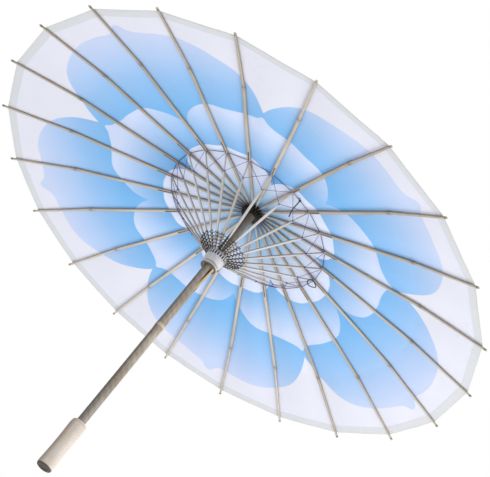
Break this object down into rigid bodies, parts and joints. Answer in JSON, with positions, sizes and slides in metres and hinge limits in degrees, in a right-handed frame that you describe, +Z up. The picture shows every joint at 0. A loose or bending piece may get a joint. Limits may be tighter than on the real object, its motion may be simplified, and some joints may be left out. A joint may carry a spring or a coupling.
{
  "type": "oil paper umbrella",
  "caption": "Open hand parasol: a printed sheet canopy on bamboo ribs and stretchers, with a sliding runner, a spring latch, a slotted hub and a turned wooden handle.",
  "frame": {"origin": "centre of the flat end face of the handle", "axes": "+Z up the shaft towards the canopy; +X along rib_01, and the other ribs follow anticlockwise seen from above"},
  "size_m": [0.8206, 0.8126, 0.541],
  "materials": {
    "rib_bamboo": "planed, matt",
    "stretcher_bamboo": "planed, matt",
    "shaft_bamboo": "stained, satin",
    "latch_bamboo": "bamboo skin, satin",
    "handle_wood": "turned, satin",
    "runner_wood": "turned, matt",
    "hub_wood": "stained dark, matt",
    "canopy_cloth": "thin printed cloth, slightly translucent",
    "crown_cloth": "thin cloth, matt",
    "ferrule_wood": "turned, satin",
    "thread": "twisted cotton"
  },
  "bodies": {
    "shaft_assembly": {"shaft": "shaft_bamboo", "handle": "handle_wood", "hub": "hub_wood", "hub_thread": "thread", "canopy": "canopy_cloth", "crown_cap": "crown_cloth", "ferrule": "ferrule_wood", "pivot_thread": "thread"},
    "runner": {"runner": "runner_wood", "runner_thread": "thread"},
    "latch": {"latch": "latch_bamboo"},
    "rib_01": {"rib_01": "rib_bamboo"},
    "rib_02": {"rib_02": "rib_bamboo"},
    "rib_03": {"rib_03": "rib_bamboo"},
    "rib_04": {"rib_04": "rib_bamboo"},
    "rib_05": {"rib_05": "rib_bamboo"},
    "rib_06": {"rib_06": "rib_bamboo"},
    "rib_07": {"rib_07": "rib_bamboo"},
    "rib_08": {"rib_08": "rib_bamboo"},
    "rib_09": {"rib_09": "rib_bamboo"},
    "rib_10": {"rib_10": "rib_bamboo"},
    "rib_11": {"rib_11": "rib_bamboo"},
    "rib_12": {"rib_12": "rib_bamboo"},
    "rib_13": {"rib_13": "rib_bamboo"},
    "rib_14": {"rib_14": "rib_bamboo"},
    "rib_15": {"rib_15": "rib_bamboo"},
    "rib_16": {"rib_16": "rib_bamboo"},
    "rib_17": {"rib_17": "rib_bamboo"},
    "rib_18": {"rib_18": "rib_bamboo"},
    "rib_19": {"rib_19": "rib_bamboo"},
    "rib_20": {"rib_20": "rib_bamboo"},
    "rib_21": {"rib_21": "rib_bamboo"},
    "rib_22": {"rib_22": "rib_bamboo"},
    "stretcher_01": {"stretcher_01": "stretcher_bamboo"},
    "stretcher_02": {"stretcher_02": "stretcher_bamboo"},
    "stretcher_03": {"stretcher_03": "stretcher_bamboo"},
    "stretcher_04": {"stretcher_04": "stretcher_bamboo"},
    "stretcher_05": {"stretcher_05": "stretcher_bamboo"},
    "stretcher_06": {"stretcher_06": "stretcher_bamboo"},
    "stretcher_07": {"stretcher_07": "stretcher_bamboo"},
    "stretcher_08": {"stretcher_08": "stretcher_bamboo"},
    "stretcher_09": {"stretcher_09": "stretcher_bamboo"},
    "stretcher_10": {"stretcher_10": "stretcher_bamboo"},
    "stretcher_11": {"stretcher_11": "stretcher_bamboo"},
    "stretcher_12": {"stretcher_12": "stretcher_bamboo"},
    "stretcher_13": {"stretcher_13": "stretcher_bamboo"},
    "stretcher_14": {"stretcher_14": "stretcher_bamboo"},
    "stretcher_15": {"stretcher_15": "stretcher_bamboo"},
    "stretcher_16": {"stretcher_16": "stretcher_bamboo"},
    "stretcher_17": {"stretcher_17": "stretcher_bamboo"},
    "stretcher_18": {"stretcher_18": "stretcher_bamboo"},
    "stretcher_19": {"stretcher_19": "stretcher_bamboo"},
    "stretcher_20": {"stretcher_20": "stretcher_bamboo"},
    "stretcher_21": {"stretcher_21": "stretcher_bamboo"},
    "stretcher_22": {"stretcher_22": "stretcher_bamboo"}
  },
  "joints": [
    {"name": "runner_slide", "type": "slide", "parent": "shaft_assembly", "child": "runner", "axis": [0, 0, -1], "range_m": [0, 0.1681], "deforming": ["canopy", "pivot_thread", "latch"]},
    {"name": "latch_press", "type": "hinge", "parent": "shaft_assembly", "child": "latch", "pos_m": [-0.00127, 0.00432, 0.338], "axis": [0.9595, 0.2817, 0], "range_deg": [0, 6.5], "stiffness_Nm_per_rad": 0.1, "springref_deg": -2.86},
    {"name": "rib_01_hinge", "type": "hinge", "parent": "shaft_assembly", "child": "rib_01", "pos_m": [0.0125, 0, 0.506], "axis": [0, 1, 0], "range_deg": [0, 76.83]},
    {"name": "rib_02_hinge", "type": "hinge", "parent": "shaft_assembly", "child": "rib_02", "pos_m": [0.01199, 0.00352, 0.506], "axis": [-0.2817, 0.9595, 0], "range_deg": [0, 76.83]},
    {"name": "rib_03_hinge", "type": "hinge", "parent": "shaft_assembly", "child": "rib_03", "pos_m": [0.01052, 0.00676, 0.506], "axis": [-0.5406, 0.8413, 0], "range_deg": [0, 76.83]},
    {"name": "rib_04_hinge", "type": "hinge", "parent": "shaft_assembly", "child": "rib_04", "pos_m": [0.00819, 0.00945, 0.506], "axis": [-0.7557, 0.6549, 0], "range_deg": [0, 76.83]},
    {"name": "rib_05_hinge", "type": "hinge", "parent": "shaft_assembly", "child": "rib_05", "pos_m": [0.00519, 0.01137, 0.506], "axis": [-0.9096, 0.4154, 0], "range_deg": [0, 76.83]},
    {"name": "rib_06_hinge", "type": "hinge", "parent": "shaft_assembly", "child": "rib_06", "pos_m": [0.00178, 0.01237, 0.506], "axis": [-0.9898, 0.1423, 0], "range_deg": [0, 76.83]},
    {"name": "rib_07_hinge", "type": "hinge", "parent": "shaft_assembly", "child": "rib_07", "pos_m": [-0.00178, 0.01237, 0.506], "axis": [-0.9898, -0.1423, 0], "range_deg": [0, 76.83]},
    {"name": "rib_08_hinge", "type": "hinge", "parent": "shaft_assembly", "child": "rib_08", "pos_m": [-0.00519, 0.01137, 0.506], "axis": [-0.9096, -0.4154, 0], "range_deg": [0, 76.83]},
    {"name": "rib_09_hinge", "type": "hinge", "parent": "shaft_assembly", "child": "rib_09", "pos_m": [-0.00819, 0.00945, 0.506], "axis": [-0.7557, -0.6549, 0], "range_deg": [0, 76.83]},
    {"name": "rib_10_hinge", "type": "hinge", "parent": "shaft_assembly", "child": "rib_10", "pos_m": [-0.01052, 0.00676, 0.506], "axis": [-0.5406, -0.8413, 0], "range_deg": [0, 76.83]},
    {"name": "rib_11_hinge", "type": "hinge", "parent": "shaft_assembly", "child": "rib_11", "pos_m": [-0.01199, 0.00352, 0.506], "axis": [-0.2817, -0.9595, 0], "range_deg": [0, 76.83]},
    {"name": "rib_12_hinge", "type": "hinge", "parent": "shaft_assembly", "child": "rib_12", "pos_m": [-0.0125, 0, 0.506], "axis": [0, -1, 0], "range_deg": [0, 76.83]},
    {"name": "rib_13_hinge", "type": "hinge", "parent": "shaft_assembly", "child": "rib_13", "pos_m": [-0.01199, -0.00352, 0.506], "axis": [0.2817, -0.9595, 0], "range_deg": [0, 76.83]},
    {"name": "rib_14_hinge", "type": "hinge", "parent": "shaft_assembly", "child": "rib_14", "pos_m": [-0.01052, -0.00676, 0.506], "axis": [0.5406, -0.8413, 0], "range_deg": [0, 76.83]},
    {"name": "rib_15_hinge", "type": "hinge", "parent": "shaft_assembly", "child": "rib_15", "pos_m": [-0.00819, -0.00945, 0.506], "axis": [0.7557, -0.6549, 0], "range_deg": [0, 76.83]},
    {"name": "rib_16_hinge", "type": "hinge", "parent": "shaft_assembly", "child": "rib_16", "pos_m": [-0.00519, -0.01137, 0.506], "axis": [0.9096, -0.4154, 0], "range_deg": [0, 76.83]},
    {"name": "rib_17_hinge", "type": "hinge", "parent": "shaft_assembly", "child": "rib_17", "pos_m": [-0.00178, -0.01237, 0.506], "axis": [0.9898, -0.1423, 0], "range_deg": [0, 76.83]},
    {"name": "rib_18_hinge", "type": "hinge", "parent": "shaft_assembly", "child": "rib_18", "pos_m": [0.00178, -0.01237, 0.506], "axis": [0.9898, 0.1423, 0], "range_deg": [0, 76.83]},
    {"name": "rib_19_hinge", "type": "hinge", "parent": "shaft_assembly", "child": "rib_19", "pos_m": [0.00519, -0.01137, 0.506], "axis": [0.9096, 0.4154, 0], "range_deg": [0, 76.83]},
    {"name": "rib_20_hinge", "type": "hinge", "parent": "shaft_assembly", "child": "rib_20", "pos_m": [0.00819, -0.00945, 0.506], "axis": [0.7557, 0.6549, 0], "range_deg": [0, 76.83]},
    {"name": "rib_21_hinge", "type": "hinge", "parent": "shaft_assembly", "child": "rib_21", "pos_m": [0.01052, -0.00676, 0.506], "axis": [0.5406, 0.8413, 0], "range_deg": [0, 76.83]},
    {"name": "rib_22_hinge", "type": "hinge", "parent": "shaft_assembly", "child": "rib_22", "pos_m": [0.01199, -0.00352, 0.506], "axis": [0.2817, 0.9595, 0], "range_deg": [0, 76.83]},
    {"name": "stretcher_01_hinge", "type": "hinge", "parent": "rib_01", "child": "stretcher_01", "pos_m": [0.134, 0, 0.48587], "axis": [0, -1, 0], "range_deg": [0, 130.31]},
    {"name": "stretcher_02_hinge", "type": "hinge", "parent": "rib_02", "child": "stretcher_02", "pos_m": [0.12857, 0.03775, 0.48587], "axis": [0.2817, -0.9595, 0], "range_deg": [0, 130.31]},
    {"name": "stretcher_03_hinge", "type": "hinge", "parent": "rib_03", "child": "stretcher_03", "pos_m": [0.11273, 0.07245, 0.48587], "axis": [0.5406, -0.8413, 0], "range_deg": [0, 130.31]},
    {"name": "stretcher_04_hinge", "type": "hinge", "parent": "rib_04", "child": "stretcher_04", "pos_m": [0.08775, 0.10127, 0.48587], "axis": [0.7557, -0.6549, 0], "range_deg": [0, 130.31]},
    {"name": "stretcher_05_hinge", "type": "hinge", "parent": "rib_05", "child": "stretcher_05", "pos_m": [0.05567, 0.12189, 0.48587], "axis": [0.9096, -0.4154, 0], "range_deg": [0, 130.31]},
    {"name": "stretcher_06_hinge", "type": "hinge", "parent": "rib_06", "child": "stretcher_06", "pos_m": [0.01907, 0.13264, 0.48587], "axis": [0.9898, -0.1423, 0], "range_deg": [0, 130.31]},
    {"name": "stretcher_07_hinge", "type": "hinge", "parent": "rib_07", "child": "stretcher_07", "pos_m": [-0.01907, 0.13264, 0.48587], "axis": [0.9898, 0.1423, 0], "range_deg": [0, 130.31]},
    {"name": "stretcher_08_hinge", "type": "hinge", "parent": "rib_08", "child": "stretcher_08", "pos_m": [-0.05567, 0.12189, 0.48587], "axis": [0.9096, 0.4154, 0], "range_deg": [0, 130.31]},
    {"name": "stretcher_09_hinge", "type": "hinge", "parent": "rib_09", "child": "stretcher_09", "pos_m": [-0.08775, 0.10127, 0.48587], "axis": [0.7557, 0.6549, 0], "range_deg": [0, 130.31]},
    {"name": "stretcher_10_hinge", "type": "hinge", "parent": "rib_10", "child": "stretcher_10", "pos_m": [-0.11273, 0.07245, 0.48587], "axis": [0.5406, 0.8413, 0], "range_deg": [0, 130.31]},
    {"name": "stretcher_11_hinge", "type": "hinge", "parent": "rib_11", "child": "stretcher_11", "pos_m": [-0.12857, 0.03775, 0.48587], "axis": [0.2817, 0.9595, 0], "range_deg": [0, 130.31]},
    {"name": "stretcher_12_hinge", "type": "hinge", "parent": "rib_12", "child": "stretcher_12", "pos_m": [-0.134, 0, 0.48587], "axis": [0, 1, 0], "range_deg": [0, 130.31]},
    {"name": "stretcher_13_hinge", "type": "hinge", "parent": "rib_13", "child": "stretcher_13", "pos_m": [-0.12857, -0.03775, 0.48587], "axis": [-0.2817, 0.9595, 0], "range_deg": [0, 130.31]},
    {"name": "stretcher_14_hinge", "type": "hinge", "parent": "rib_14", "child": "stretcher_14", "pos_m": [-0.11273, -0.07245, 0.48587], "axis": [-0.5406, 0.8413, 0], "range_deg": [0, 130.31]},
    {"name": "stretcher_15_hinge", "type": "hinge", "parent": "rib_15", "child": "stretcher_15", "pos_m": [-0.08775, -0.10127, 0.48587], "axis": [-0.7557, 0.6549, 0], "range_deg": [0, 130.31]},
    {"name": "stretcher_16_hinge", "type": "hinge", "parent": "rib_16", "child": "stretcher_16", "pos_m": [-0.05567, -0.12189, 0.48587], "axis": [-0.9096, 0.4154, 0], "range_deg": [0, 130.31]},
    {"name": "stretcher_17_hinge", "type": "hinge", "parent": "rib_17", "child": "stretcher_17", "pos_m": [-0.01907, -0.13264, 0.48587], "axis": [-0.9898, 0.1423, 0], "range_deg": [0, 130.31]},
    {"name": "stretcher_18_hinge", "type": "hinge", "parent": "rib_18", "child": "stretcher_18", "pos_m": [0.01907, -0.13264, 0.48587], "axis": [-0.9898, -0.1423, 0], "range_deg": [0, 130.31]},
    {"name": "stretcher_19_hinge", "type": "hinge", "parent": "rib_19", "child": "stretcher_19", "pos_m": [0.05567, -0.12189, 0.48587], "axis": [-0.9096, -0.4154, 0], "range_deg": [0, 130.31]},
    {"name": "stretcher_20_hinge", "type": "hinge", "parent": "rib_20", "child": "stretcher_20", "pos_m": [0.08775, -0.10127, 0.48587], "axis": [-0.7557, -0.6549, 0], "range_deg": [0, 130.31]},
    {"name": "stretcher_21_hinge", "type": "hinge", "parent": "rib_21", "child": "stretcher_21", "pos_m": [0.11273, -0.07245, 0.48587], "axis": [-0.5406, -0.8413, 0], "range_deg": [0, 130.31]},
    {"name": "stretcher_22_hinge", "type": "hinge", "parent": "rib_22", "child": "stretcher_22", "pos_m": [0.12857, -0.03775, 0.48587], "axis": [-0.2817, -0.9595, 0], "range_deg": [0, 130.31]}
  ],
  "couplings": [
    {"joint": "rib_01_hinge", "follows": "runner_slide", "rad_per_m": 7.976},
    {"joint": "stretcher_01_hinge", "follows": "runner_slide", "rad_per_m": 13.529},
    {"joint": "rib_02_hinge", "follows": "runner_slide", "rad_per_m": 7.976},
    {"joint": "stretcher_02_hinge", "follows": "runner_slide", "rad_per_m": 13.529},
    {"joint": "rib_03_hinge", "follows": "runner_slide", "rad_per_m": 7.976},
    {"joint": "stretcher_03_hinge", "follows": "runner_slide", "rad_per_m": 13.529},
    {"joint": "rib_04_hinge", "follows": "runner_slide", "rad_per_m": 7.976},
    {"joint": "stretcher_04_hinge", "follows": "runner_slide", "rad_per_m": 13.529},
    {"joint": "rib_05_hinge", "follows": "runner_slide", "rad_per_m": 7.976},
    {"joint": "stretcher_05_hinge", "follows": "runner_slide", "rad_per_m": 13.529},
    {"joint": "rib_06_hinge", "follows": "runner_slide", "rad_per_m": 7.976},
    {"joint": "stretcher_06_hinge", "follows": "runner_slide", "rad_per_m": 13.529},
    {"joint": "rib_07_hinge", "follows": "runner_slide", "rad_per_m": 7.976},
    {"joint": "stretcher_07_hinge", "follows": "runner_slide", "rad_per_m": 13.529},
    {"joint": "rib_08_hinge", "follows": "runner_slide", "rad_per_m": 7.976},
    {"joint": "stretcher_08_hinge", "follows": "runner_slide", "rad_per_m": 13.529},
    {"joint": "rib_09_hinge", "follows": "runner_slide", "rad_per_m": 7.976},
    {"joint": "stretcher_09_hinge", "follows": "runner_slide", "rad_per_m": 13.529},
    {"joint": "rib_10_hinge", "follows": "runner_slide", "rad_per_m": 7.976},
    {"joint": "stretcher_10_hinge", "follows": "runner_slide", "rad_per_m": 13.529},
    {"joint": "rib_11_hinge", "follows": "runner_slide", "rad_per_m": 7.976},
    {"joint": "stretcher_11_hinge", "follows": "runner_slide", "rad_per_m": 13.529},
    {"joint": "rib_12_hinge", "follows": "runner_slide", "rad_per_m": 7.976},
    {"joint": "stretcher_12_hinge", "follows": "runner_slide", "rad_per_m": 13.529},
    {"joint": "rib_13_hinge", "follows": "runner_slide", "rad_per_m": 7.976},
    {"joint": "stretcher_13_hinge", "follows": "runner_slide", "rad_per_m": 13.529},
    {"joint": "rib_14_hinge", "follows": "runner_slide", "rad_per_m": 7.976},
    {"joint": "stretcher_14_hinge", "follows": "runner_slide", "rad_per_m": 13.529},
    {"joint": "rib_15_hinge", "follows": "runner_slide", "rad_per_m": 7.976},
    {"joint": "stretcher_15_hinge", "follows": "runner_slide", "rad_per_m": 13.529},
    {"joint": "rib_16_hinge", "follows": "runner_slide", "rad_per_m": 7.976},
    {"joint": "stretcher_16_hinge", "follows": "runner_slide", "rad_per_m": 13.529},
    {"joint": "rib_17_hinge", "follows": "runner_slide", "rad_per_m": 7.976},
    {"joint": "stretcher_17_hinge", "follows": "runner_slide", "rad_per_m": 13.529},
    {"joint": "rib_18_hinge", "follows": "runner_slide", "rad_per_m": 7.976},
    {"joint": "stretcher_18_hinge", "follows": "runner_slide", "rad_per_m": 13.529},
    {"joint": "rib_19_hinge", "follows": "runner_slide", "rad_per_m": 7.976},
    {"joint": "stretcher_19_hinge", "follows": "runner_slide", "rad_per_m": 13.529},
    {"joint": "rib_20_hinge", "follows": "runner_slide", "rad_per_m": 7.976},
    {"joint": "stretcher_20_hinge", "follows": "runner_slide", "rad_per_m": 13.529},
    {"joint": "rib_21_hinge", "follows": "runner_slide", "rad_per_m": 7.976},
    {"joint": "stretcher_21_hinge", "follows": "runner_slide", "rad_per_m": 13.529},
    {"joint": "rib_22_hinge", "follows": "runner_slide", "rad_per_m": 7.976},
    {"joint": "stretcher_22_hinge", "follows": "runner_slide", "rad_per_m": 13.529}
  ]
}
